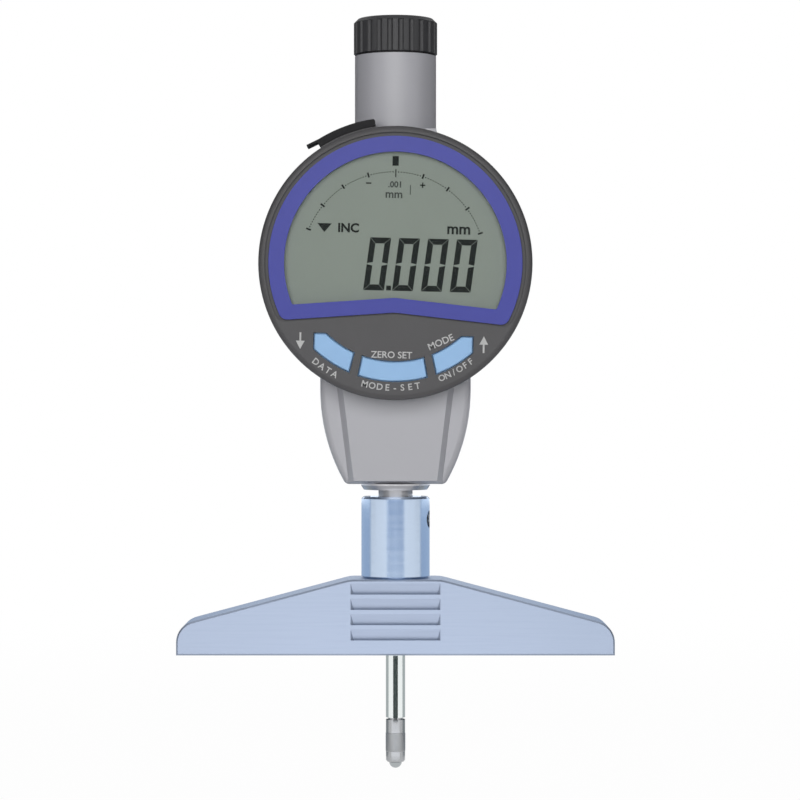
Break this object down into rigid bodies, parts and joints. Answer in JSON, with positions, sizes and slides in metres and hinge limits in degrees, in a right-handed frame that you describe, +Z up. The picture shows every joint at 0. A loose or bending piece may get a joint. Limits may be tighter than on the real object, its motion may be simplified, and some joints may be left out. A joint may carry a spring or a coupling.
{
  "type": "digital depth gauge",
  "caption": "Digital depth gauge: round turning display head on a painted case, clamped by its stem in a wide depth base, with a sprung spindle and ball contact.",
  "frame": {"origin": "centre of the base's measuring face, on the spindle axis", "axes": "+X to the reader's right along the base, +Y to the back of the gauge, +Z up along the spindle towards the cap"},
  "size_m": [0.1016, 0.0308, 0.1752],
  "materials": {
    "base_steel": "satin chrome plate on hardened steel",
    "polished_steel": "polished",
    "dark_steel": "blackened",
    "point_steel": "ground",
    "carbide": "polished",
    "bronze": "machined",
    "case_paint": "satin light grey",
    "light_alloy": "machined",
    "scale_glass": "etched",
    "circuit_board": "solder mask",
    "black_plastic": "fine grain",
    "black_rubber": "smooth",
    "grey_rubber": "smooth",
    "white_plastic": "low friction",
    "head_plastic": "fine grain",
    "blue_trim": "semi gloss",
    "clear_window": "clear",
    "lcd_glass": "reflective display",
    "key_blue": "satin"
  },
  "bodies": {
    "gauge_body": {"base_bar": "base_steel", "stem_sleeve": "polished_steel", "clamp_screw": "dark_steel", "stem": "polished_steel", "lower_bush": "bronze", "upper_bush": "bronze", "guide_rod": "point_steel", "return_spring": "point_steel", "sensor_board": "circuit_board", "case_casting": "case_paint", "back_cover": "case_paint", "cover_screws": "dark_steel", "cell": "polished_steel"},
    "spindle_group": {"spindle": "polished_steel", "contact_point": "point_steel", "contact_ball": "carbide", "scale_carrier": "light_alloy", "encoder_scale": "scale_glass"},
    "display_head": {"head_case": "head_plastic", "head_retainer": "point_steel", "retainer_screws": "dark_steel", "friction_washer": "white_plastic", "bezel": "head_plastic", "display_frame": "blue_trim", "window": "clear_window", "lcd_panel": "lcd_glass", "lcd_holder": "black_plastic", "main_board": "circuit_board", "board_screws": "dark_steel", "key_mat": "grey_rubber", "data_socket": "black_plastic"},
    "left_key": {"mode_key": "key_blue"},
    "middle_key": {"zero_key": "key_blue"},
    "right_key": {"power_key": "key_blue"},
    "port_flap": {"port_cover": "black_rubber"},
    "cap_travel": {"cap_seal": "black_rubber"},
    "cap": {"top_cap": "black_plastic"},
    "cell_lid": {"cell_cap": "black_plastic"}
  },
  "joints": [
    {"name": "spindle_slide", "type": "slide", "parent": "gauge_body", "child": "spindle_group", "axis": [0, 0, 1], "range_m": [0, 0.0276], "stiffness_N_per_m": 25, "springref_m": -0.036, "deforming": ["return_spring"]},
    {"name": "head_turn", "type": "hinge", "parent": "gauge_body", "child": "display_head", "pos_m": [0, -0.0098, 0.0903], "axis": [0, 1, 0], "range_deg": [-165, 165]},
    {"name": "mode_press", "type": "slide", "parent": "display_head", "child": "left_key", "axis": [0, 1, 0], "range_m": [0, 0.0005], "stiffness_N_per_m": 800, "springref_m": -0.001},
    {"name": "zero_press", "type": "slide", "parent": "display_head", "child": "middle_key", "axis": [0, 1, 0], "range_m": [0, 0.0005], "stiffness_N_per_m": 800, "springref_m": -0.001},
    {"name": "power_press", "type": "slide", "parent": "display_head", "child": "right_key", "axis": [0, 1, 0], "range_m": [0, 0.0005], "stiffness_N_per_m": 800, "springref_m": -0.001},
    {"name": "port_open", "type": "hinge", "parent": "display_head", "child": "port_flap", "pos_m": [-0.00543, -0.0135, 0.1224], "axis": [0, 1, 0], "range_deg": [0, 80]},
    {"name": "cap_lift", "type": "slide", "parent": "gauge_body", "child": "cap_travel", "axis": [0, 0, 1], "range_m": [0, 0.004]},
    {"name": "cap_turn", "type": "hinge", "parent": "cap_travel", "child": "cap", "pos_m": [0, 0, 0.14], "axis": [0, 0, 1], "range_deg": [0, 1440.1]},
    {"name": "cell_lid_turn", "type": "hinge", "parent": "gauge_body", "child": "cell_lid", "pos_m": [0.01501, 0.0095, 0.09828], "axis": [0, 1, 0], "range_deg": [0, 45]}
  ],
  "couplings": [
    {"joint": "cap_turn", "follows": "cap_lift", "rad_per_m": 6283.2}
  ]
}
